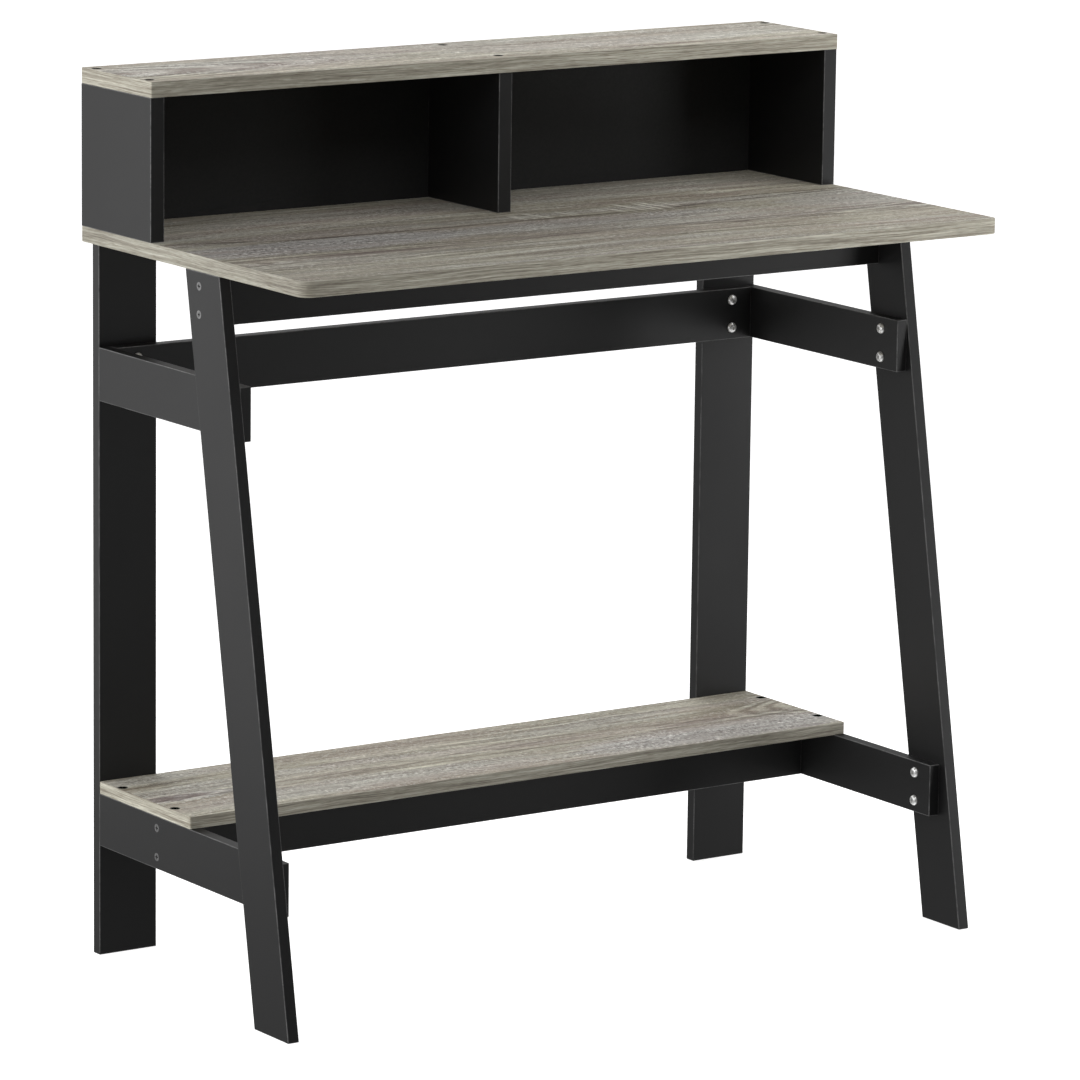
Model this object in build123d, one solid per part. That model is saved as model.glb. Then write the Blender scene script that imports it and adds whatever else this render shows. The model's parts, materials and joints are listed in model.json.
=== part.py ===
from build123d import *
import os
import math

# A-frame writing desk with a low open hutch along its rear edge.
# Frame: origin at the middle of the footprint on the floor, +X to the user's
# right, +Y to the rear, +Z up. All sizes in millimetres.

# ---------------------------------------------------------------- overall
DESK_W = 800.0          # width of desktop, hutch and over the front legs
DESK_D = 398.0          # depth of the desktop
DESK_Z = 718.0          # height of the writing surface
LAM_T = 15.0            # wood-print boards of the desktop and hutch top
SHELF_T = 12.0          # wood-print board of the lower shelf
BAND_T = 1.0            # edge band glued round the wood-print boards
DESK_CORNER_R = 12.0    # rounded front corners of the desktop

# ---------------------------------------------------------------- hutch
HUTCH_D = 130.0         # depth of the hutch top
HUTCH_H = 137.0         # clear height inside the hutch
HUTCH_T = 15.0          # sides and divider
HUTCH_TOP_R = 1.5       # small corner radius of the hutch top
SIDE_SETBACK = 1.5      # side front edges behind the top's front edge
DIVIDER_SETBACK = 2.5   # divider front edge behind the top's front edge
BACK_T = 2.5            # hardboard back
BACK_REBATE = 7.0       # how far the back runs into the sides' rebates
DIVIDER_X = 0.5         # centre of the divider

# ---------------------------------------------------------------- frame
BOARD_T = 12.0          # black frame boards
LEG_W = 64.0            # rear legs
FRONT_LEG_W = 60.0      # front legs, measured level, front to rear
FRONT_FOOT_Y = 378.0    # front leg's front edge at the floor, from the rear
FRONT_HEAD_Y = 251.6    # front leg's front edge at the top, from the rear
RAIL_H = 52.0
UPPER_RAIL_Z = 549.0    # underside
LOWER_RAIL_Z = 110.0    # underside
UPPER_RAIL_END = 270.0  # front ends, from the rear
LOWER_RAIL_END = 340.0
APRON_Y = 222.0         # apron's front face, from the rear
APRON_H = 52.0
SHELF_FRONT = 182.0     # shelf's front edge, from the rear
LOW_STRETCHER_Y = 126.0 # front face, from the rear
EDGE_R = 0.6            # eased edges of the black boards
BAND_R = 0.5            # eased edges of the bands

# ---------------------------------------------------------------- fasteners
BLACK_HEAD_D, BLACK_SHANK_D, BLACK_L = 8.0, 4.0, 40.0
SHELF_SCREW_L = 35.0
GREY_HEAD_D, GREY_SHANK_D, GREY_L = 8.0, 4.0, 38.0
BOLT_HEAD_D, BOLT_HEAD_H, BOLT_SHANK_D, BOLT_L = 10.5, 3.3, 6.0, 20.0
PAIR = 28.6             # spacing of the fastener pairs in the 52 mm boards
ROW = 98.0              # spacing of the fastener pairs front to rear
BRACKET_LEG, BRACKET_W, BRACKET_T = 20.0, 16.0, 2.0
BRACKET_SCREW_L = 9.0
NAIL_HEAD_D, NAIL_D, NAIL_L = 3.0, 1.4, 14.0
DOWEL_D, DOWEL_DOWN, DOWEL_UP, DOWEL_PITCH = 6.0, 14.0, 10.0, 36.0

REAR = DESK_D / 2


def yr(d):
    """Row Y of a point d millimetres in front of the rear edge."""
    return REAR - d


UNDER = DESK_Z - LAM_T                       # underside of the desktop
TOP_Z = DESK_Z + HUTCH_H                     # underside of the hutch top
HALF = DESK_W / 2
FRAME_X = HALF - BOARD_T                     # outer faces of rear legs and rails
SLOPE = (FRONT_FOOT_Y - FRONT_HEAD_Y) / UNDER
UP_MID = UPPER_RAIL_Z + RAIL_H / 2
LOW_MID = LOWER_RAIL_Z + RAIL_H / 2
SHELF_Z = LOWER_RAIL_Z + RAIL_H


def box(x0, x1, y0, y1, z0, z1, r=0.0):
    b = Pos((x0 + x1) / 2, (y0 + y1) / 2, (z0 + z1) / 2) * Box(
        abs(x1 - x0), abs(y1 - y0), abs(z1 - z0)
    )
    if r:
        b = fillet(b.edges(), r)
    return b


def along(x, y, z, d):
    """Places a fastener drawn with its head at the origin and its shank
    down -Z so that the shank runs in direction d."""
    turn = {
        "-z": Rot(0, 0, 0),
        "+z": Rot(180, 0, 0),
        "+y": Rot(90, 0, 0),
        "-y": Rot(-90, 0, 0),
        "-x": Rot(0, 90, 0),
        "+x": Rot(0, -90, 0),
    }[d]
    return Pos(x, y, z) * turn


def turned(points):
    """Solid of revolution about Z from (radius, z) points."""
    pl = Polyline(*[(r, 0, z) for r, z in points], close=True)
    return revolve(make_face(pl), Axis.Z)


def hex_socket(across, depth):
    return extrude(RegularPolygon(across / 2, 6, major_radius=False), -depth)


def cross_socket(width, depth):
    a = Pos(0, 0, -depth / 2) * Box(width, width * 0.24, depth)
    b = Pos(0, 0, -depth / 2) * Box(width * 0.24, width, depth)
    c = Pos(0, 0, -depth * 0.7) * Cone(0.3, width * 0.24, depth * 1.4)
    return a + b + c


def flat_body(head_d, shank_d, length, land=0.4):
    """Countersunk screw, head face at z = 0, pointed end."""
    hr, sr = head_d / 2, shank_d / 2
    cone = hr - sr
    return turned([
        (0, 0), (hr, 0), (hr, -land), (sr, -land - cone),
        (sr, -length + 2 * sr), (0.4, -length), (0, -length),
    ])


def dome_body(head_d, head_h, shank_d, length):
    """Button-head bolt, head seated at z = 0 and standing above it."""
    hr, sr = head_d / 2, shank_d / 2
    arc = ThreePointArc((hr, 0, 0.5), (hr * 0.80, 0, head_h * 0.74), (hr * 0.42, 0, head_h))
    rim = Polyline((hr * 0.42, 0, head_h), (0, 0, head_h), (0, 0, -length),
                   (sr - 0.6, 0, -length), (sr, 0, -length + 0.6), (sr, 0, 0),
                   (hr, 0, 0), (hr, 0, 0.5))
    return revolve(make_face([arc, rim]), Axis.Z)


def pan_body(head_d, head_h, shank_d, length):
    hr, sr = head_d / 2, shank_d / 2
    return turned([
        (0, head_h), (hr * 0.7, head_h), (hr, head_h * 0.5), (hr, 0), (sr, 0),
        (sr, -length + 2 * sr), (0.4, -length), (0, -length),
    ])


parts = {}       # name -> shape
cuts = {}        # board name -> list of fastener bodies let into it


def fastener(name, place, body, socket, boards):
    solid = place * (body - socket) if socket is not None else place * body
    parts.setdefault(name, []).append(solid)
    for b in boards:
        cuts.setdefault(b, []).append(place * body)


# ================================================================ desktop
def outline(w, d, y_mid, front_r, rear_r):
    """Flat outline, front corners with one radius and rear ones another."""
    s = Pos(0, y_mid) * Rectangle(w, d)
    front = s.vertices().sort_by(Axis.Y)[:2]
    s = fillet(front, front_r)
    rear = s.vertices().sort_by(Axis.Y)[-2:]
    return fillet(rear, rear_r)


def banded(name, w, d, y_mid, z0, t, front_r, rear_r):
    """A wood-print core with its edge band as a separate ring."""
    whole = outline(w, d, y_mid, front_r, rear_r)
    inner = outline(w - 2 * BAND_T, d - 2 * BAND_T, y_mid,
                    max(front_r - BAND_T, 0.4), max(rear_r - BAND_T, 0.4))
    core = Pos(0, 0, z0) * extrude(inner, t)
    full = Pos(0, 0, z0) * extrude(whole, t)
    rims = full.faces().sort_by(Axis.Z)
    edges = rims[-1].edges() + rims[0].edges()
    full = fillet(edges, BAND_R)
    parts[name] = core
    parts[name + "_edge_band"] = full - core


banded("desktop", DESK_W, DESK_D, 0.0, UNDER, LAM_T, DESK_CORNER_R, 1.5)
banded("hutch_top", DESK_W, HUTCH_D, yr(HUTCH_D / 2), TOP_Z, LAM_T, HUTCH_TOP_R, HUTCH_TOP_R)
banded("lower_shelf", 2 * FRAME_X, SHELF_FRONT - BOARD_T, yr((SHELF_FRONT + BOARD_T) / 2),
       SHELF_Z, SHELF_T, HUTCH_TOP_R, HUTCH_TOP_R)

# ================================================================ frame
parts["left_rear_leg"] = box(-FRAME_X, -FRAME_X + LEG_W, yr(BOARD_T), yr(0), 0, UNDER, EDGE_R)
parts["right_rear_leg"] = box(FRAME_X - LEG_W, FRAME_X, yr(BOARD_T), yr(0), 0, UNDER, EDGE_R)


def front_leg(x0):
    pts = [(yr(FRONT_FOOT_Y), 0), (yr(FRONT_FOOT_Y - FRONT_LEG_W), 0),
           (yr(FRONT_HEAD_Y - FRONT_LEG_W), UNDER), (yr(FRONT_HEAD_Y), UNDER)]
    face = make_face(Polyline(*[(x0, y, z) for y, z in pts], close=True))
    leg = extrude(face, BOARD_T, dir=(1, 0, 0))
    return fillet(leg.edges(), EDGE_R)


parts["left_front_leg"] = front_leg(-HALF)
parts["right_front_leg"] = front_leg(FRAME_X)

for side, x0, x1 in (("left", -FRAME_X, -FRAME_X + BOARD_T), ("right", FRAME_X - BOARD_T, FRAME_X)):
    parts[side + "_upper_rail"] = box(x0, x1, yr(UPPER_RAIL_END), yr(BOARD_T),
                                      UPPER_RAIL_Z, UPPER_RAIL_Z + RAIL_H, EDGE_R)
    parts[side + "_lower_rail"] = box(x0, x1, yr(LOWER_RAIL_END), yr(BOARD_T),
                                      LOWER_RAIL_Z, LOWER_RAIL_Z + RAIL_H, EDGE_R)

IN_X = FRAME_X - BOARD_T                     # inner faces of the rails
parts["front_apron"] = box(-FRAME_X, FRAME_X, yr(APRON_Y), yr(APRON_Y - BOARD_T),
                           UNDER - APRON_H, UNDER, EDGE_R)
parts["rear_stretcher"] = box(-IN_X, IN_X, yr(2 * BOARD_T), yr(BOARD_T),
                              UPPER_RAIL_Z, UPPER_RAIL_Z + RAIL_H, EDGE_R)
parts["shelf_stretcher"] = box(-IN_X, IN_X, yr(LOW_STRETCHER_Y), yr(LOW_STRETCHER_Y - BOARD_T),
                               LOWER_RAIL_Z, LOWER_RAIL_Z + RAIL_H, EDGE_R)

# ================================================================ hutch
side_y0 = yr(HUTCH_D - SIDE_SETBACK)
for side, s in (("left", -1), ("right", 1)):
    b = box(s * HALF, s * (HALF - HUTCH_T), side_y0, yr(0), DESK_Z, TOP_Z, EDGE_R)
    rebate = box(s * (HALF - HUTCH_T - 5), s * (HALF - HUTCH_T + BACK_REBATE),
                 yr(BACK_T), yr(-5), DESK_Z - 1, TOP_Z + 1)
    parts["hutch_" + side + "_side"] = b - rebate
parts["hutch_divider"] = box(DIVIDER_X - HUTCH_T / 2, DIVIDER_X + HUTCH_T / 2,
                             yr(HUTCH_D - DIVIDER_SETBACK), yr(BACK_T), DESK_Z, TOP_Z, EDGE_R)
BACK_HALF = HALF - HUTCH_T + BACK_REBATE
parts["hutch_back_panel"] = box(-BACK_HALF, BACK_HALF, yr(BACK_T), yr(0), DESK_Z, TOP_Z)

# ================================================================ fasteners
hutch_rows = (HUTCH_D / 2 - ROW / 2, HUTCH_D / 2 + ROW / 2)
hutch_cols = ((-HALF + HUTCH_T / 2, "hutch_left_side"), (DIVIDER_X, "hutch_divider"),
              (HALF - HUTCH_T / 2, "hutch_right_side"))

# black countersunk screws down through the hutch top
n = 0
for x, board in hutch_cols:
    for d in hutch_rows:
        n += 1
        fastener(f"hutch_top_screw_{n}", along(x, yr(d), TOP_Z + LAM_T, "-z"),
                 flat_body(BLACK_HEAD_D, BLACK_SHANK_D, BLACK_L), hex_socket(3.0, 1.6),
                 ["hutch_top", board])

# countersunk screws up through the desktop into the hutch uprights
for x, board in hutch_cols:
    for d in hutch_rows:
        fastener("hutch_base_screws", along(x, yr(d), UNDER, "+z"),
                 flat_body(GREY_HEAD_D, GREY_SHANK_D, BLACK_L), cross_socket(4.0, 1.4),
                 ["desktop", board])

# black countersunk screws down through the shelf into the lower rails
n = 0
shelf_rows = (46.0, 46.0 + ROW)
for s, side in ((-1, "left"), (1, "right")):
    for d in shelf_rows:
        n += 1
        fastener(f"shelf_screw_{n}", along(s * (FRAME_X - BOARD_T / 2), yr(d), SHELF_Z + SHELF_T, "-z"),
                 flat_body(BLACK_HEAD_D, BLACK_SHANK_D, SHELF_SCREW_L), hex_socket(3.0, 1.6),
                 ["lower_shelf", side + "_lower_rail"])

# button-head bolts, rear stretcher to rear legs
n = 0
for s, side in ((-1, "left"), (1, "right")):
    for dz in (-PAIR / 2, PAIR / 2):
        n += 1
        fastener(f"stretcher_bolt_{n}", along(s * 352.0, yr(2 * BOARD_T), UP_MID + dz, "+y"),
                 dome_body(BOLT_HEAD_D, BOLT_HEAD_H, BOLT_SHANK_D, BOLT_L), Pos(0, 0, BOLT_HEAD_H) * hex_socket(4.0, 2.2),
                 ["rear_stretcher", side + "_rear_leg"])

# button-head bolts, rails to front legs
for level, y, zm in (("upper", 243.5, UP_MID), ("lower", 315.5, LOW_MID)):
    n = 0
    for s, side, d in ((-1, "left", "-x"), (1, "right", "+x")):
        for dz in (-PAIR / 2, PAIR / 2):
            n += 1
            fastener(f"{level}_rail_bolt_{n}", along(s * IN_X, yr(y), zm + dz, d),
                     dome_body(BOLT_HEAD_D, BOLT_HEAD_H, BOLT_SHANK_D, BOLT_L), Pos(0, 0, BOLT_HEAD_H) * hex_socket(4.0, 2.2),
                     [f"{side}_{level}_rail", side + "_front_leg"])

# countersunk screws, front legs into the apron's ends
n = 0
for s, side, d in ((-1, "left", "+x"), (1, "right", "-x")):
    for dz in (-PAIR / 2 + 1.0, PAIR / 2 - 1.0):
        n += 1
        fastener(f"apron_screw_{n}", along(s * HALF, yr(APRON_Y - BOARD_T / 2), UNDER - APRON_H / 2 - 1.0 + dz, d),
                 flat_body(GREY_HEAD_D, GREY_SHANK_D, GREY_L), cross_socket(4.4, 1.4),
                 [side + "_front_leg", "front_apron"])

# countersunk screws, lower rails into the shelf stretcher's ends
n = 0
for s, side, d in ((-1, "left", "+x"), (1, "right", "-x")):
    for dz in (-PAIR / 2, PAIR / 2):
        n += 1
        fastener(f"shelf_stretcher_screw_{n}", along(s * FRAME_X, yr(LOW_STRETCHER_Y - BOARD_T / 2), LOW_MID + dz, d),
                 flat_body(GREY_HEAD_D, GREY_SHANK_D, GREY_L), cross_socket(4.4, 1.4),
                 [side + "_lower_rail", "shelf_stretcher"])

# countersunk screws from behind, rear legs into the rails' rear ends
for s, side in ((-1, "left"), (1, "right")):
    for level, zm in (("upper", UP_MID), ("lower", LOW_MID)):
        for dz in (-PAIR / 2, PAIR / 2):
            fastener("rear_leg_screws", along(s * (FRAME_X - BOARD_T / 2), yr(0), zm + dz, "-y"),
                     flat_body(GREY_HEAD_D, GREY_SHANK_D, GREY_L), cross_socket(4.4, 1.4),
                     [side + "_rear_leg", f"{side}_{level}_rail"])

# wooden dowels that locate the rear legs' tops in the desktop
for s, side in ((-1, "left"), (1, "right")):
    for dx in (-DOWEL_PITCH / 2, DOWEL_PITCH / 2):
        fastener("rear_leg_dowels", Pos(s * (FRAME_X - LEG_W / 2) + dx, yr(BOARD_T / 2), UNDER),
                 turned([(0, -DOWEL_DOWN), (DOWEL_D / 2 - 0.6, -DOWEL_DOWN), (DOWEL_D / 2, -DOWEL_DOWN + 1.0),
                         (DOWEL_D / 2, DOWEL_UP - 1.0), (DOWEL_D / 2 - 0.6, DOWEL_UP), (0, DOWEL_UP)]), None,
                 [side + "_rear_leg", "desktop"])

# steel angle brackets under the desktop behind the apron, with their pan-head screws
brackets = ((-240.0, APRON_Y - BOARD_T, -1, "front_apron"), (240.0, APRON_Y - BOARD_T, -1, "front_apron"))
for i, (x, d, way, board) in enumerate(brackets):
    # way 1 stands in front of its board, way -1 behind it, and its leaves run from there
    y0 = yr(d)
    up = box(x - BRACKET_W / 2, x + BRACKET_W / 2, y0 - way * BRACKET_T, y0,
             UNDER - BRACKET_LEG, UNDER)
    out = box(x - BRACKET_W / 2, x + BRACKET_W / 2, y0 - way * BRACKET_LEG, y0,
              UNDER - BRACKET_T, UNDER)
    angle = up + out
    angle = fillet(angle.edges().filter_by(Axis.X).sort_by(
        lambda e: abs(e.center().Y - (y0 - way * BRACKET_T)) + abs(e.center().Z - (UNDER - BRACKET_T)))[0:1], 1.5)
    tips = angle.edges().filter_by(Axis.Y).sort_by(Axis.Z)[:2]
    angle = fillet(tips, 4.0)
    ends = angle.edges().filter_by(Axis.Z).filter_by(lambda e: abs(e.center().Y - (y0 - way * BRACKET_LEG)) < 0.1)
    angle = fillet(ends, 4.0)
    parts[f"corner_bracket_{i + 1}"] = angle
    mid = BRACKET_T + (BRACKET_LEG - BRACKET_T) / 2 + 1.0
    fastener("bracket_screws", along(x, y0 - way * mid, UNDER - BRACKET_T, "+z"),
             pan_body(7.0, 2.2, 3.5, BRACKET_T + BRACKET_SCREW_L), Pos(0, 0, 2.2) * cross_socket(3.6, 1.3),
             [f"corner_bracket_{i + 1}", "desktop"])
    fastener("bracket_screws", along(x, y0 - way * BRACKET_T, UNDER - mid, "+y" if way == 1 else "-y"),
             pan_body(7.0, 2.2, 3.5, BRACKET_T + BRACKET_SCREW_L), Pos(0, 0, 2.2) * cross_socket(3.6, 1.3),
             [f"corner_bracket_{i + 1}", board])

# panel nails through the hardboard back into the sides' rebates and the divider
for x, board in ((-BACK_HALF + 3.5, "hutch_left_side"), (DIVIDER_X, "hutch_divider"),
                 (BACK_HALF - 3.5, "hutch_right_side")):
    for dz in (18.0, HUTCH_H / 2, HUTCH_H - 18.0):
        fastener("back_panel_nails", along(x, yr(0), DESK_Z + dz, "-y"),
                 turned([(0, 0), (NAIL_HEAD_D / 2, 0), (NAIL_HEAD_D / 2, -0.6), (NAIL_D / 2, -0.9),
                         (NAIL_D / 2, -NAIL_L + 1.2), (0.2, -NAIL_L), (0, -NAIL_L)]), None,
                 ["hutch_back_panel", board])

# ================================================================ export
os.makedirs("parts", exist_ok=True)
for name, shape in parts.items():
    if isinstance(shape, list):
        shape = shape[0] if len(shape) == 1 else Compound(children=shape)
    for tool in cuts.get(name, []):
        shape = shape - tool
    if not isinstance(shape, Compound) or len(shape.solids()) == 1:
        shape = shape.solids()[0]
    shape.label = name
    export_step(shape, f"parts/{name}.step")
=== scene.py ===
import bpy
import json
import math
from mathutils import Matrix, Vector


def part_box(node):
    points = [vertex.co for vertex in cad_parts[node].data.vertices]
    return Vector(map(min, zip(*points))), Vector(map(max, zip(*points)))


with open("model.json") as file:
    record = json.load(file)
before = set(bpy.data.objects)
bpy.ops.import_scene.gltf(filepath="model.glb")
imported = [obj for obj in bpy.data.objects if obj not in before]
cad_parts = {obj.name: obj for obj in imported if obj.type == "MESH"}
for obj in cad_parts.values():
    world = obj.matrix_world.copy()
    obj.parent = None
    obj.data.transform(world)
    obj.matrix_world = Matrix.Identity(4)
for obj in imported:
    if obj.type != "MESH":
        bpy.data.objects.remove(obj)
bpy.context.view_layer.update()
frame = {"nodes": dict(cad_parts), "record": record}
NODES = frame["nodes"]

# ------------------------------------------------------------------ camera
cam_data = bpy.data.cameras.new("camera")
cam_data.sensor_width = 36.0
cam_data.lens = 6309.6 / 1080.0 * 36.0
cam_data.clip_start, cam_data.clip_end = 0.1, 200.0
cam = bpy.data.objects.new("camera", cam_data)
cam.location = (-3.4017, -4.9692, 1.6103)
cam.rotation_euler = (math.radians(90.0 - 11.315), math.radians(-0.705), math.radians(-34.24))
bpy.context.scene.collection.objects.link(cam)
bpy.context.scene.camera = cam


# ------------------------------------------------------------------ node helper
class Tree:
    """A short way to write shader nodes."""

    def __init__(self, name):
        self.mat = bpy.data.materials.new(name)
        self.mat.use_nodes = True
        self.t = self.mat.node_tree
        self.t.nodes.clear()
        self.out = self.t.nodes.new("ShaderNodeOutputMaterial")
        self.bsdf = self.t.nodes.new("ShaderNodeBsdfPrincipled")
        self.t.links.new(self.bsdf.outputs[0], self.out.inputs[0])

    def put(self, sock, v):
        if hasattr(v, "is_linked") or hasattr(v, "links"):
            self.t.links.new(v, sock)
        else:
            sock.default_value = v

    def m(self, op, a, b=None, c=None, clamp=False):
        n = self.t.nodes.new("ShaderNodeMath")
        n.operation = op
        n.use_clamp = clamp
        for i, v in enumerate((a, b, c)):
            if v is not None:
                self.put(n.inputs[i], v)
        return n.outputs[0]

    def v(self, op, a, b=None):
        n = self.t.nodes.new("ShaderNodeVectorMath")
        n.operation = op
        self.put(n.inputs[0], a)
        if b is not None:
            self.put(n.inputs[1], b)
        return n.outputs["Value"] if op in ("LENGTH", "DOT_PRODUCT", "DISTANCE") else n.outputs[0]

    def xyz(self, x, y, z):
        n = self.t.nodes.new("ShaderNodeCombineXYZ")
        for i, v in enumerate((x, y, z)):
            self.put(n.inputs[i], v)
        return n.outputs[0]

    def sep(self, v):
        n = self.t.nodes.new("ShaderNodeSeparateXYZ")
        self.t.links.new(v, n.inputs[0])
        return n.outputs

    def pos(self):
        """Object coordinates in millimetres."""
        n = self.t.nodes.new("ShaderNodeTexCoord")
        return self.v("MULTIPLY", n.outputs["Object"], (1000.0, 1000.0, 1000.0))

    def normal(self):
        return self.t.nodes.new("ShaderNodeNewGeometry").outputs["Normal"]

    def noise(self, vec, detail=2.0, rough=0.5, dist=0.0, scale=1.0, lac=2.0):
        n = self.t.nodes.new("ShaderNodeTexNoise")
        n.inputs["Scale"].default_value = scale
        n.inputs["Detail"].default_value = detail
        n.inputs["Roughness"].default_value = rough
        n.inputs["Distortion"].default_value = dist
        n.inputs["Lacunarity"].default_value = lac
        self.t.links.new(vec, n.inputs["Vector"])
        return n.outputs[0]

    def rng(self, v, a, b, c=0.0, d=1.0, smooth=True):
        n = self.t.nodes.new("ShaderNodeMapRange")
        n.interpolation_type = "SMOOTHSTEP" if smooth else "LINEAR"
        n.clamp = True
        self.put(n.inputs[0], v)
        for i, q in enumerate((a, b, c, d)):
            self.put(n.inputs[1 + i], q)
        return n.outputs[0]

    def mix(self, f, a, b, blend="MIX"):
        n = self.t.nodes.new("ShaderNodeMix")
        n.data_type = "RGBA"
        n.blend_type = blend
        self.put(n.inputs[0], f)
        self.put(n.inputs[6], a)
        self.put(n.inputs[7], b)
        return n.outputs[2]

    def lerp(self, f, a, b):
        n = self.t.nodes.new("ShaderNodeMix")
        n.data_type = "FLOAT"
        self.put(n.inputs[0], f)
        self.put(n.inputs[2], a)
        self.put(n.inputs[3], b)
        return n.outputs[0]

    def vlerp(self, f, a, b):
        n = self.t.nodes.new("ShaderNodeMix")
        n.data_type = "VECTOR"
        self.put(n.inputs[0], f)
        self.put(n.inputs[4], a)
        self.put(n.inputs[5], b)
        return n.outputs[1]

    def ramp(self, f, stops):
        n = self.t.nodes.new("ShaderNodeValToRGB")
        el = n.color_ramp.elements
        while len(el) > 1:
            el.remove(el[-1])
        el[0].position, el[0].color = stops[0][0], col(stops[0][1])
        for p, c in stops[1:]:
            e = el.new(p)
            e.color = col(c)
        self.t.links.new(f, n.inputs[0])
        return n.outputs[0]

    def bump(self, height, strength, distance):
        n = self.t.nodes.new("ShaderNodeBump")
        n.inputs["Strength"].default_value = strength
        n.inputs["Distance"].default_value = distance
        self.t.links.new(height, n.inputs["Height"])
        self.t.links.new(n.outputs[0], self.bsdf.inputs["Normal"])

    def set(self, **k):
        for name, v in k.items():
            self.put(self.bsdf.inputs[name.replace("_", " ")], v)


def lin(c):
    c = c / 255.0
    return c / 12.92 if c <= 0.04045 else ((c + 0.055) / 1.055) ** 2.4


def col(c):
    """sRGB 0-255 triple to linear RGBA."""
    return (lin(c[0]), lin(c[1]), lin(c[2]), 1.0)


def give(node, mat):
    o = NODES[node]
    if not o.material_slots:
        o.data.materials.append(mat)
    for s in o.material_slots:
        s.material = mat


# ------------------------------------------------------------------ black melamine boards
def edge_distance(n, x, y, z, lo, hi):
    """Distance in mm from a surface point to the nearest edge of its board's box."""
    d = []
    for v, a, b in zip((x, y, z), lo, hi):
        d.append(n.m("MINIMUM", n.m("SUBTRACT", v, a), n.m("SUBTRACT", b, v)))
    small = n.m("MINIMUM", d[0], d[1])
    large = n.m("MAXIMUM", d[0], d[1])
    return n.m("MAXIMUM", small, n.m("MINIMUM", large, d[2]))


def black_board(node, slope=0.0, foot=None, lift=1.0, edge=1.0, seed=0.0):
    n = Tree("black_" + node)
    p = n.pos()
    x, y, z = n.sep(p)
    lo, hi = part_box(node)
    lo, hi = [c * 1000 for c in lo], [c * 1000 for c in hi]
    if slope:
        # square up the leaning board: its own front edge becomes a constant
        y = n.m("SUBTRACT", y, n.m("MULTIPLY", z, slope))
        lo[1], hi[1] = foot
    d = edge_distance(n, x, y, z, lo, hi)
    shift = n.v("ADD", p, (seed * 37.0, seed * 91.0, seed * 53.0))

    # painted highlight: a thin, uneven lighter line painted along every edge of the board, where the edges catch the
    # light
    broken = n.noise(n.v("MULTIPLY", shift, (0.045, 0.045, 0.045)), 3.0, 0.6)
    fine = n.noise(n.v("MULTIPLY", shift, (0.5, 0.5, 0.5)), 2.0, 0.6)
    painted_edge_highlight = n.rng(d, 0.20, 1.05, 1.0, 0.0)
    painted_edge_highlight = n.m("MULTIPLY", painted_edge_highlight, n.rng(broken, 0.30, 0.62, 0.35, 1.0))
    painted_edge_highlight = n.m("MULTIPLY", painted_edge_highlight, n.rng(fine, 0.25, 0.6, 0.55, 1.0))
    painted_edge_highlight = n.m("MULTIPLY", painted_edge_highlight, edge)

    # faces: faint mottling and a fine pressed texture
    cloud = n.noise(n.v("MULTIPLY", shift, (0.006, 0.006, 0.006)), 3.0, 0.55)
    grain = n.noise(n.v("MULTIPLY", shift, (1.3, 1.3, 1.3)), 2.0, 0.6)
    shade = n.m("MULTIPLY", n.rng(cloud, 0.3, 0.7, 0.90, 1.10, False), n.rng(grain, 0.3, 0.7, 0.90, 1.10, False))
    shade = n.m("MULTIPLY", shade, lift)
    base = n.mix(1.0, (0.0076, 0.0076, 0.0078, 1.0), n.xyz(shade, shade, shade), "MULTIPLY")
    base = n.mix(painted_edge_highlight, base, (0.16, 0.16, 0.16, 1.0))
    n.set(Base_Color=base)
    rough = n.m("ADD", n.rng(grain, 0.2, 0.8, 0.43, 0.52, False), n.m("MULTIPLY", n.m("SUBTRACT", cloud, 0.5), 0.12))
    n.set(Roughness=rough)
    n.bsdf.inputs["Specular IOR Level"].default_value = 0.31
    tex = n.noise(n.v("MULTIPLY", shift, (0.9, 0.9, 0.9)), 3.0, 0.65)
    n.bump(tex, 0.25, 0.00012)
    give(node, n.mat)


SLOPE = 0.17980
boards = [n for n in NODES if frame["record"] and n in (
    "left_rear_leg", "right_rear_leg", "left_upper_rail", "right_upper_rail", "left_lower_rail",
    "right_lower_rail", "front_apron", "rear_stretcher", "shelf_stretcher", "hutch_left_side",
    "hutch_right_side", "hutch_divider")]
for i, b in enumerate(sorted(boards)):
    black_board(b, seed=i + 1.0)
for i, b in enumerate(("left_front_leg", "right_front_leg")):
    lo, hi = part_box(b)
    foot = (lo.y * 1000, lo.y * 1000 + 60.0)
    black_board(b, slope=SLOPE, foot=foot, seed=21.0 + i)


def hardboard(node):
    n = Tree("black_hardboard")
    p = n.pos()
    f = n.noise(n.v("MULTIPLY", p, (0.35, 0.35, 0.35)), 4.0, 0.7)
    w = n.noise(n.v("MULTIPLY", p, (2.0, 2.0, 2.0)), 3.0, 0.7)
    s = n.rng(f, 0.3, 0.7, 0.8, 1.2, False)
    n.set(Base_Color=n.mix(1.0, (0.0131, 0.0131, 0.0134, 1.0), n.xyz(s, s, s), "MULTIPLY"))
    n.set(Roughness=n.rng(w, 0.2, 0.8, 0.55, 0.7, False))
    n.bsdf.inputs["Specular IOR Level"].default_value = 0.3
    n.bump(w, 0.3, 0.00015)
    give(node, n.mat)


hardboard("hutch_back_panel")


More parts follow.
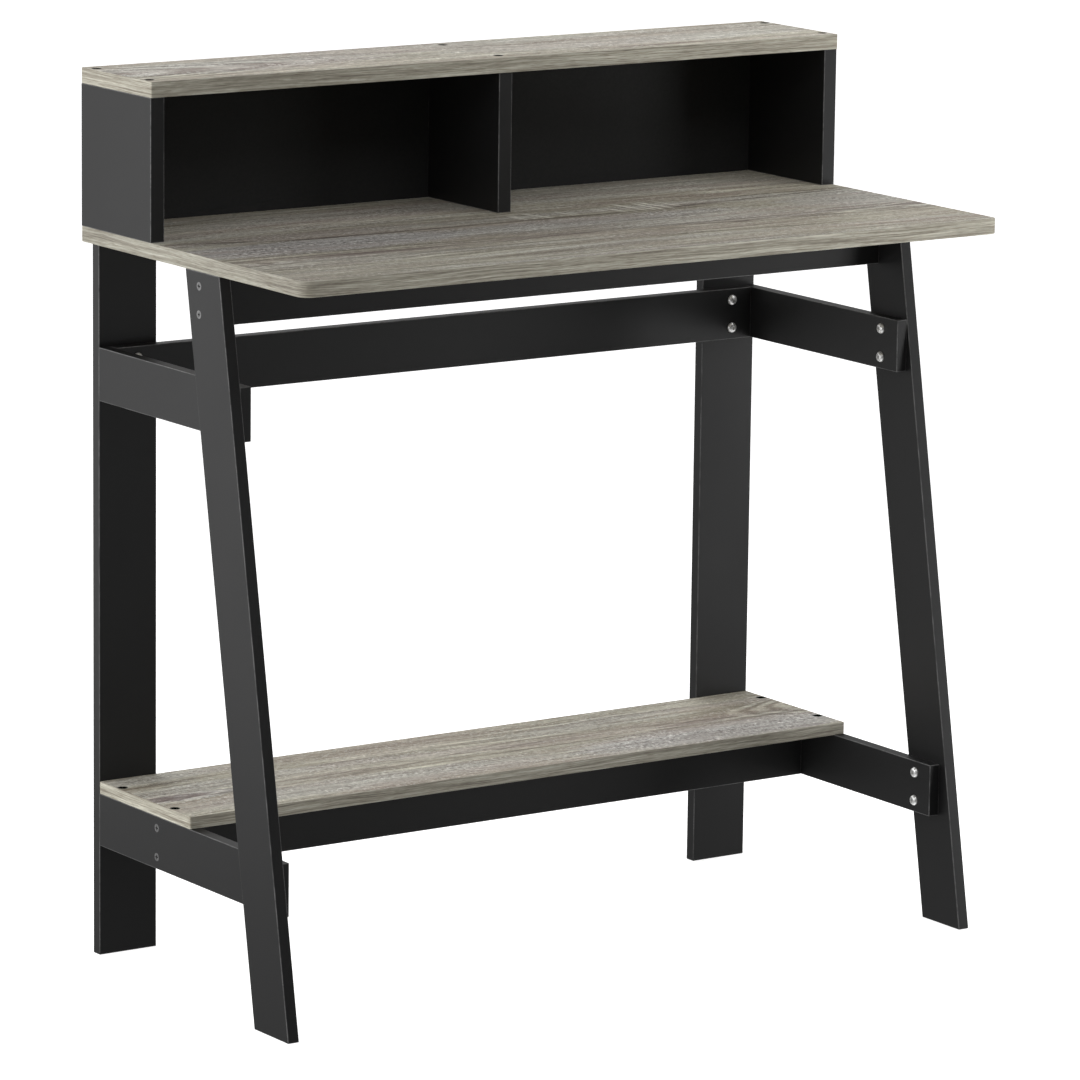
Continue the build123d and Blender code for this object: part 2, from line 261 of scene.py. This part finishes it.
# ------------------------------------------------------------------ grey oak print
# Every board's print is laid out in millimetres: x along the grain, d from the rear edge.
# zones   (x, d, half length, half width, strength): fuzzy speckled grey patches
# arches  (x of the tip, d, way, half width, spacing, reach): nested cathedral lines
# lines   (strength, width, d at the start, [(x0, x1, change in d), ...]): single dark streaks
# rays    (x, d, half length, half width): short light flecks that run across the grain
# lenses  (x, d, half length, half width, strength): pointed brown eyes with a pale rim
def oak(n, x, d, w, seed, zones, arches, lines, rays, lenses, tone_and_painted_light):
    xs = n.m("ADD", x, seed * 613.0)
    ds = n.m("ADD", d, seed * 157.0)

    def at(a, b, dd=None, k=1 / 60):
        return n.xyz(n.m("MULTIPLY", xs, a), n.m("MULTIPLY", dd if dd is not None else ds, b), n.m("MULTIPLY", w, k))

    sway = n.m("SUBTRACT", n.noise(at(1 / 300, 1 / 75), 2.0, 0.5), 0.5)
    wob = n.m("SUBTRACT", n.noise(at(1 / 85, 1 / 17), 2.0, 0.5), 0.5)
    bend = n.m("ADD", n.m("MULTIPLY", sway, 34.0), n.m("MULTIPLY", wob, 7.0))
    vs = n.m("ADD", ds, bend)
    df = n.m("ADD", d, n.m("MULTIPLY", bend, 0.45))

    broad = n.noise(at(1 / 330, 1 / 12, vs), 3.0, 0.55)
    middle = n.noise(at(1 / 140, 1 / 5.6, vs, 1 / 20), 3.0, 0.62)
    streak = n.noise(at(1 / 85, 1 / 2.8, vs), 4.0, 0.66)
    hair = n.noise(at(1 / 24, 1 / 1.05, vs), 3.0, 0.68)

    zone = n.rng(n.noise(at(1 / 520, 1 / 38, vs), 2.0, 0.55), 0.46, 0.66, 0.0, 0.45)
    rag = n.m("MULTIPLY", n.m("SUBTRACT", streak, 0.5), 2.4)
    for zx, zd, rx, rd, k in zones:
        qx = n.m("DIVIDE", n.m("SUBTRACT", x, zx), rx)
        qd = n.m("DIVIDE", n.m("SUBTRACT", df, zd), rd)
        q = n.m("ADD", n.m("ADD", n.m("MULTIPLY", qx, qx), n.m("MULTIPLY", qd, qd)), rag)
        zone = n.m("MAXIMUM", zone, n.rng(q, 0.55, 1.25, k, 0.0))

    t = n.m("ADD", n.m("ADD", n.m("MULTIPLY", broad, 0.34), n.m("MULTIPLY", middle, 0.26)),
            n.m("ADD", n.m("MULTIPLY", streak, 0.24), n.m("MULTIPLY", hair, 0.16)))
    t = n.rng(t, 0.40, 0.60, 0.0, 1.0, False)
    t = n.lerp(n.m("MULTIPLY", zone, 0.55), t, n.rng(hair, 0.30, 0.70, 0.25, 0.85, False))

    for ax, ad, way, half, pitch, reach in arches:
        run = n.m("MULTIPLY", n.m("SUBTRACT", x, ax), way)
        off = n.m("DIVIDE", n.m("SUBTRACT", df, ad), half)
        q = n.m("SUBTRACT", n.m("DIVIDE", run, reach), n.m("MULTIPLY", off, off))
        wav = n.m("MULTIPLY", n.m("SUBTRACT", n.noise(at(1 / 60, 1 / 14), 3.0, 0.6), 0.5), 0.55)
        q = n.m("ADD", q, wav)
        ring = n.m("PINGPONG", n.m("DIVIDE", q, pitch), 0.5)
        ring = n.rng(ring, 0.05, 0.42, 0.10, 0.90)
        t = n.lerp(n.m("MULTIPLY", n.rng(q, -0.10, 0.16), n.rng(run, reach * 1.6, reach * 3.2, 0.78, 0.0)), t, ring)

    olive = n.ramp(t, [(0.0, (98, 89, 76)), (0.22, (122, 114, 99)), (0.50, (147, 141, 125)),
                       (0.78, (168, 163, 147)), (1.0, (192, 188, 171))])
    mauve = n.ramp(t, [(0.0, (104, 96, 91)), (0.25, (128, 121, 116)), (0.52, (150, 146, 140)),
                       (0.80, (172, 169, 163)), (1.0, (195, 192, 186))])
    c = n.mix(zone, olive, mauve)

    # broad warm and cool drifts of the print
    drift = n.rng(n.noise(at(1 / 260, 1 / 30, vs), 2.0, 0.5), 0.44, 0.64)
    c = n.mix(n.m("MULTIPLY", drift, 0.40), c, col((140, 125, 115)))

    # light flecks and dark pores, dense in the fuzzy zones
    fl = n.noise(at(1 / 3.6, 1 / 1.5), 2.0, 0.7)
    fl2 = n.noise(at(1 / 4.6, 1 / 5.5), 3.0, 0.75)
    both = n.m("ADD", n.m("MULTIPLY", fl, 0.42), n.m("MULTIPLY", fl2, 0.58))
    fleck = n.rng(both, 0.515, 0.60)
    speck = n.rng(both, 0.395, 0.485, 1.0, 0.0)
    patch = n.rng(n.noise(at(1 / 60, 1 / 18), 2.0, 0.5), 0.32, 0.62, 0.25, 1.0)
    c = n.mix(n.m("MULTIPLY", n.m("MULTIPLY", fleck, patch), n.lerp(zone, 0.34, 0.70)), c, col((214, 212, 206)))
    c = n.mix(n.m("MULTIPLY", n.m("MULTIPLY", speck, patch), n.lerp(zone, 0.30, 0.84)), c, col((78, 71, 69)))
    pore = n.rng(n.noise(at(1 / 10, 1 / 1.2, vs), 2.0, 0.6), 0.59, 0.69)
    c = n.mix(n.m("MULTIPLY", pore, n.lerp(zone, 0.46, 0.22)), c, col((92, 83, 73)))

    # long dark streaks, some from the noise and some laid in
    dark = n.m("MULTIPLY", n.rng(n.noise(at(1 / 300, 1 / 7.0, vs), 2.0, 0.55), 0.60, 0.70), 0.42)
    for k, width, d0, steps in lines:
        f = n.m("ADD", n.m("MULTIPLY", wob, 5.0), d0)
        for x0, x1, dd in steps:
            f = n.m("ADD", f, n.rng(x, x0, x1, 0.0, dd))
        gap = n.m("ABSOLUTE", n.m("SUBTRACT", d, f))
        body = n.rng(gap, width * 0.15, width, k, 0.0)
        body = n.m("MULTIPLY", body, n.rng(n.noise(at(1 / 75, 1 / 9), 3.0, 0.6), 0.34, 0.62, 0.15, 1.0))
        dark = n.m("MAXIMUM", dark, body)
    c = n.mix(dark, c, col((84, 73, 65)))

    for ex, ed, rl, rw, k in lenses:
        qx = n.m("ABSOLUTE", n.m("DIVIDE", n.m("SUBTRACT", x, ex), rl))
        qd = n.m("ABSOLUTE", n.m("DIVIDE", n.m("SUBTRACT", df, ed), rw))
        q = n.m("ADD", n.m("ADD", n.m("POWER", qx, 1.4), qd), n.m("MULTIPLY", n.m("SUBTRACT", streak, 0.5), 1.3))
        rim = n.m("MULTIPLY", n.rng(q, 0.92, 1.08), n.rng(q, 1.12, 1.42, 1.0, 0.0))
        c = n.mix(n.m("MULTIPLY", rim, 0.45 * k), c, col((196, 189, 176)))
        eye = n.m("MULTIPLY", n.rng(q, 0.80, 1.02, 1.0, 0.0), n.rng(hair, 0.25, 0.75, 1.0, 0.45))
        c = n.mix(n.m("MULTIPLY", eye, k), c, col((100, 86, 81)))

    # rays across the grain
    for rx0, rd0, rl, rw in rays:
        qx = n.m("DIVIDE", n.m("SUBTRACT", x, rx0), rl)
        qd = n.m("DIVIDE", n.m("SUBTRACT", d, rd0), rw)
        q = n.m("ADD", n.m("MULTIPLY", qx, qx), n.m("MULTIPLY", qd, qd))
        lean = n.m("ADD", xs, n.m("MULTIPLY", d, -0.18))
        ry = n.noise(n.xyz(n.m("MULTIPLY", lean, 1 / 6.0), n.m("MULTIPLY", ds, 1 / 90), n.m("MULTIPLY", w, 1 / 60)), 2.0, 0.5)
        m = n.m("MULTIPLY", n.rng(ry, 0.50, 0.60), n.rng(q, 0.35, 1.0, 0.80, 0.0))
        c = n.mix(m, c, col((206, 202, 188)))

    # grainy dots of the print
    dots = n.m("ADD", n.m("MULTIPLY", n.noise(at(1 / 7.0, 1 / 1.3, vs), 3.0, 0.72), 0.6),
               n.m("MULTIPLY", n.noise(at(1 / 2.6, 1 / 1.0), 2.0, 0.7), 0.4))
    dots = n.m("ADD", n.m("MULTIPLY", dots, 0.6), n.m("MULTIPLY", n.noise(at(1 / 9.0, 1 / 5.0, vs), 3.0, 0.75), 0.4))
    dots = n.rng(dots, 0.38, 0.62, 0.66, 1.32, False)
    c = n.mix(1.0, c, n.xyz(dots, dots, dots), "MULTIPLY")

    # the print's overall tone, with painted light on top: a brightness change from the left end to the right end, and a
    # lift of the part behind the hutch front, painted against the shade under the hutch top
    k = n.rng(x, -100.0, 360.0, tone_and_painted_light[0], tone_and_painted_light[1])
    k = n.m("MULTIPLY", k, n.rng(d, 112.0, 140.0, n.rng(x, -200.0, 160.0, tone_and_painted_light[2], tone_and_painted_light[3]), 1.0))
    c = n.mix(1.0, c, n.xyz(k, n.m("MULTIPLY", k, 1.022), n.m("MULTIPLY", k, 1.045)), "MULTIPLY")
    return c, pore, hair


def oak_board(node, seed, tone_and_painted_light, screws=None, zones=(), arches=(), lines=(), rays=(), lenses=()):
    n = Tree("oak_" + node)
    x, y, z = n.sep(n.pos())
    d = n.m("SUBTRACT", 199.0, y)
    c, pore, hair = oak(n, x, d, z, seed, zones, arches, lines, rays, lenses, tone_and_painted_light)
    if screws:
        # painted shadow: a dark ring round each screw head, standing in for the shade in the countersink gap
        near = None
        for k in NODES:
            if k.startswith(screws):
                a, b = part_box(k)
                r = n.v("LENGTH", n.xyz(n.m("SUBTRACT", x, (a.x + b.x) * 500), n.m("SUBTRACT", y, (a.y + b.y) * 500), 0.0))
                near = r if near is None else n.m("MINIMUM", near, r)
        c = n.mix(n.rng(near, 4.5, 5.6, 0.92, 0.0), c, col((22, 22, 22)))
    n.set(Base_Color=c)
    n.set(Roughness=n.m("ADD", n.m("MULTIPLY", pore, 0.10), n.rng(hair, 0.2, 0.8, 0.56, 0.66, False)))
    n.bsdf.inputs["Specular IOR Level"].default_value = 0.30
    h = n.m("SUBTRACT", n.m("MULTIPLY", hair, 0.5), pore)
    n.bump(h, 0.30, 0.00010)
    give(node, n.mat)


def oak_band(node, seed, tone_and_painted_light, painted_side_light):
    """Edge band: grain runs along the band on every side."""
    n = Tree("oak_" + node)
    p = n.pos()
    x, y, z = n.sep(p)
    nx, ny, nz = n.sep(n.normal())
    side = n.rng(n.m("SUBTRACT", n.m("ABSOLUTE", nx), n.m("ABSOLUTE", ny)), -0.5, 0.5)
    # one run of band: along the front, round the corners and back along the sides
    lo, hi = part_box(node)
    back = n.m("SUBTRACT", y, lo.y * 1000)
    rear = n.m("GREATER_THAN", y, hi.y * 1000 - 0.8)
    u = n.m("ADD", x, n.m("MULTIPLY", n.m("SIGN", x), back))
    u = n.m("ADD", n.lerp(rear, u, n.m("ADD", x, 977.0)), seed * 331.0)

    def at(a, b, c):
        return n.xyz(n.m("MULTIPLY", u, a), seed * b, n.m("MULTIPLY", z, c))

    zs = n.m("ADD", z, n.m("MULTIPLY", n.m("SUBTRACT", n.noise(at(1 / 120, 1 / 60, 1 / 30), 2.0, 0.5), 0.5), 5.0))

    def az(a, c):
        return n.xyz(n.m("MULTIPLY", u, a), 0.0, n.m("MULTIPLY", zs, c))

    broad = n.noise(az(1 / 200, 1 / 3.6), 2.0, 0.5)
    streak = n.noise(az(1 / 70, 1 / 1.3), 3.0, 0.62)
    hair = n.noise(az(1 / 15, 1 / 0.6), 2.0, 0.65)
    t = n.m("ADD", n.m("ADD", n.m("MULTIPLY", broad, 0.32), n.m("MULTIPLY", streak, 0.42)), n.m("MULTIPLY", hair, 0.26))
    t = n.rng(t, 0.38, 0.62, 0.0, 1.0, False)
    c = n.ramp(t, [(0.0, (104, 97, 86)), (0.26, (136, 130, 117)), (0.56, (163, 159, 145)),
                   (0.80, (183, 180, 166)), (1.0, (202, 199, 186))])
    long = n.rng(n.noise(az(1 / 200, 1 / 2.8), 1.0, 0.5), 0.60, 0.70)
    c = n.mix(n.m("MULTIPLY", long, 0.55), c, col((104, 95, 82)))
    dash = n.rng(n.noise(az(1 / 20, 1 / 0.8), 2.0, 0.6), 0.57, 0.67)
    c = n.mix(n.m("MULTIPLY", dash, 0.55), c, col((100, 88, 68)))
    # painted light: the band's front and back faces change brightness from the left end to the right end, and its side
    # faces take their own brightness, a painted stand-in for how the light falls on each face
    k = n.lerp(side, n.rng(x, lo.x * 1000, hi.x * 1000, tone_and_painted_light[0], tone_and_painted_light[1], False), painted_side_light)
    c = n.mix(1.0, c, n.xyz(k, k, k), "MULTIPLY")
    n.set(Base_Color=c)
    n.set(Roughness=n.rng(hair, 0.2, 0.8, 0.46, 0.58, False))
    n.bsdf.inputs["Specular IOR Level"].default_value = 0.35
    n.bump(n.m("SUBTRACT", hair, dash), 0.25, 0.00008)
    give(node, n.mat)


# the tuple after each seed: print tone with painted light at the left end, the right end, and behind the hutch front
# (left, right)
oak_board("hutch_top", 3.0, (1.46, 1.53, 1.0, 1.0), "hutch_top_screw",
          zones=[(-270, 58, 190, 40, 0.6), (190, 75, 240, 26, 0.5)],
          arches=[(-150, 66, -1, 40, 0.55, 150)],
          lines=[(0.35, 3.0, 92.0, [(-150, 60, -6), (60, 400, 10)]), (0.30, 2.6, 108.0, [(-300, 0, 8), (0, 300, -6)]),
                 (0.35, 3.2, 64.0, [(40, 380, 9)])])
oak_board("desktop", 1.0, (0.92, 1.28, 1.38, 1.08),
          zones=[(-280, 218, 210, 38, 1.0), (20, 214, 200, 24, 0.7), (360, 215, 90, 50, 0.6), (-150, 70, 210, 34, 0.5),
                 (180, 60, 200, 40, 0.4)],
          arches=[(322, 282, 1, 22, 0.46, 80), (-330, 288, -1, 22, 0.46, 80), (70, 288, 1, 12, 0.6, 150)],
          lines=[(0.92, 4.4, 150.0, [(-400, -240, 32), (-150, 60, 1), (90, 360, -22)]),
                 (0.70, 6.0, 274.0, [(-340, -180, 8), (-120, 40, -8)]), (0.60, 3.4, 296.0, [(-320, -160, 6), (-60, 120, -8)]),
                 (0.75, 4.4, 268.0, [(20, 230, 24), (250, 400, 8)]), (0.40, 3.0, 318.0, [(-100, 200, -6)]),
                 (0.45, 3.6, 378.0, [(-200, 100, 4), (150, 350, -6)])],
          rays=[(140, 160, 62, 30), (20, 162, 46, 22)],
          lenses=[(-250, 280, 120, 9, 0.55), (-60, 272, 110, 7, 0.45), (200, 284, 95, 7, 0.50), (340, 262, 75, 6, 0.55),
                  (392, 274, 40, 11, 0.60)])
oak_board("lower_shelf", 2.0, (1.45, 1.44, 1.0, 1.0), "shelf_screw",
          zones=[(255, 150, 190, 34, 1.0), (-150, 150, 240, 26, 0.55), (-352, 108, 66, 13, 0.9)],
          arches=[(300, 96, 1, 36, 0.50, 60), (-300, 106, -1, 15, 0.55, 60)],
          lines=[(0.60, 4.0, 112.0, [(-140, 60, -32), (90, 320, 24)]), (0.50, 3.2, 100.0, [(-360, -200, 8), (-60, 120, -18), (150, 300, 12)]),
                 (0.45, 3.0, 66.0, [(-200, 100, -8), (100, 300, 10)]), (0.75, 5.0, 106.0, [(-388, -300, 8)]),
                 (0.35, 2.6, 40.0, [(-200, 200, 6)])],
          lenses=[(-366, 107, 58, 12, 0.85), (60, 96, 120, 7, 0.45), (262, 104, 60, 8, 0.60), (-190, 104, 80, 6, 0.45)])
# each band: print tone with painted light at its left and right ends, then painted light on its side faces
oak_band("hutch_top_edge_band", 3.0, (0.82, 1.17), 1.09)
oak_band("desktop_edge_band", 1.0, (0.87, 1.26), 0.87)
oak_band("lower_shelf_edge_band", 2.0, (0.94, 0.78), 1.25)


# ------------------------------------------------------------------ metal
def metal(name, base, rough, nodes, spread=0.06, mark=0.25, metallic=1.0, spec=0.5):
    n = Tree(name)
    p = n.pos()
    a = n.noise(n.v("MULTIPLY", p, (0.35, 0.35, 0.35)), 3.0, 0.6)
    b = n.noise(n.v("MULTIPLY", p, (3.0, 3.0, 3.0)), 3.0, 0.6)
    s = n.m("MULTIPLY", n.rng(a, 0.3, 0.7, 1.0 - mark, 1.0 + mark * 0.3, False), n.rng(b, 0.3, 0.7, 0.92, 1.05, False))
    n.set(Base_Color=n.mix(1.0, base, n.xyz(s, s, s), "MULTIPLY"))
    n.bsdf.inputs["Metallic"].default_value = metallic
    n.bsdf.inputs["Specular IOR Level"].default_value = spec
    n.set(Roughness=n.rng(b, 0.3, 0.7, rough - spread, rough + spread, False))
    n.bump(b, 0.2, 0.00005)
    for k in nodes:
        give(k, n.mat)


def named(*starts):
    return [k for k in NODES if k.startswith(starts)]


metal("zinc_bolt", (0.88, 0.88, 0.87, 1.0), 0.30, named("stretcher_bolt", "upper_rail_bolt", "lower_rail_bolt"), metallic=0.72)
metal("zinc_screw", (0.20, 0.20, 0.20, 1.0), 0.46,
      named("apron_screw", "shelf_stretcher_screw", "rear_leg_screws", "hutch_base_screws", "bracket_screws", "back_panel_nails"))
metal("bracket_zinc", (0.50, 0.50, 0.50, 1.0), 0.38, named("corner_bracket"))
metal("birch_dowel", (0.55, 0.42, 0.28, 1.0), 0.6, ["rear_leg_dowels"], metallic=0.0)
metal("black_oxide", (0.003, 0.003, 0.003, 1.0), 0.85, named("hutch_top_screw", "shelf_screw"), metallic=0.0, spec=0.0)

# ------------------------------------------------------------------ floor, light
def stage_material():
    n = Tree("floor_white")
    p = n.pos()
    f = n.noise(n.v("MULTIPLY", p, (0.002, 0.002, 0.002)), 2.0, 0.5)
    s = n.rng(f, 0.3, 0.7, 0.86, 0.88, False)
    n.set(Base_Color=n.xyz(s, s, s))
    n.bsdf.inputs["Roughness"].default_value = 0.9
    n.bsdf.inputs["Specular IOR Level"].default_value = 0.0
    n.bsdf.inputs["Emission Color"].default_value = (1.0, 1.0, 1.0, 1.0)
    n.bsdf.inputs["Emission Strength"].default_value = 0.80
    return n.mat


mesh = bpy.data.meshes.new("floor")
R, SEG = 14.0, 96
vs = [(0.0, 0.0, 0.0)] + [(R * math.cos(2 * math.pi * i / SEG), R * math.sin(2 * math.pi * i / SEG), 0.0) for i in range(SEG)]
mesh.from_pydata(vs, [], [(0, 1 + i, 1 + (i + 1) % SEG) for i in range(SEG)])
floor = bpy.data.objects.new("floor", mesh)
floor.location = (0.0, 0.0, -0.0004)
bpy.context.scene.collection.objects.link(floor)
mesh.materials.append(stage_material())
floor.visible_glossy = floor.visible_diffuse = floor.visible_shadow = floor.visible_transmission = False

world = bpy.data.worlds.new("studio")
world.use_nodes = True
bpy.context.scene.world = world
wt = world.node_tree
wt.nodes.clear()


# soft lobes of studio light: direction they come from, sharpness, strength
LOBES = [((0.0, 1.0, 0.0), 6.0, 0.27), ((-1.0, 0.0, 0.0), 6.0, 0.63), ((0.0, -0.766, 0.643), 6.0, 0.18),
         ((1.0, 0.0, 0.0), 6.0, 0.40), ((0.0, 0.766, 0.643), 6.0, 2.11), ((-0.5417, -0.5417, 0.643), 6.0, 0.41), ((0.0, 0.0, -1.0), 2.0, 1.60)]
W_SEEN = 1.05
wo = wt.nodes.new("ShaderNodeOutputWorld")
wb = wt.nodes.new("ShaderNodeBackground")
wl = wt.nodes.new("ShaderNodeLightPath")
wc = wt.nodes.new("ShaderNodeTexCoord")
total = None
for axis, sharp, k in LOBES:
    wd = wt.nodes.new("ShaderNodeVectorMath")
    wd.operation = "DOT_PRODUCT"
    wt.links.new(wc.outputs["Generated"], wd.inputs[0])
    wd.inputs[1].default_value = axis
    q = None
    for op, val in (("MAXIMUM", 0.0), ("POWER", sharp), ("MULTIPLY", k)):
        nd = wt.nodes.new("ShaderNodeMath")
        nd.operation = op
        wt.links.new(q if q is not None else wd.outputs["Value"], nd.inputs[0])
        nd.inputs[1].default_value = val
        q = nd.outputs[0]
    if total is None:
        total = q
    else:
        nd = wt.nodes.new("ShaderNodeMath")
        nd.operation = "ADD"
        wt.links.new(total, nd.inputs[0])
        wt.links.new(q, nd.inputs[1])
        total = nd.outputs[0]
wm = wt.nodes.new("ShaderNodeMix")
wm.data_type = "FLOAT"
wt.links.new(wl.outputs["Is Camera Ray"], wm.inputs[0])
wt.links.new(total, wm.inputs[2])
wm.inputs[3].default_value = W_SEEN
wb.inputs[0].default_value = (1.0, 1.0, 1.0, 1.0)
wt.links.new(wm.outputs[0], wb.inputs[1])
wt.links.new(wb.outputs[0], wo.inputs[0])


def area(name, loc, target, size, size_y, power, color=(1.0, 1.0, 1.0)):
    d = bpy.data.lights.new(name, "AREA")
    d.shape = "RECTANGLE"
    d.size, d.size_y = size, size_y
    d.energy = power
    d.color = color
    o = bpy.data.objects.new(name, d)
    o.location = loc
    o.rotation_euler = (Vector(target) - Vector(loc)).to_track_quat("-Z", "Y").to_euler()
    bpy.context.scene.collection.objects.link(o)
    return o


area("left", (-1.7, -0.1, 0.9), (-0.3, 0.0, 0.6), 1.0, 1.4, 11.8)
area("rear_left", (-1.45, 1.25, 0.75), (-0.45, -0.1, 0.45), 0.9, 2.0, 10.6)
area("right_front", (1.15, -0.85, 0.6), (0.35, 0.0, 0.5), 0.4, 1.6, 4.4)
area("right_low", (1.5, -0.9, 0.2), (0.3, 0.0, 0.25), 0.8, 0.35, 3.0)
area("top_front", (0.0, -1.4, 2.2), (0.0, 0.0, 0.5), 1.8, 0.9, 12.0)
area("top_right", (1.1, -0.5, 1.9), (0.2, 0.0, 0.6), 0.9, 0.9, 8.1)

bpy.context.scene.view_settings.view_transform = "Standard"
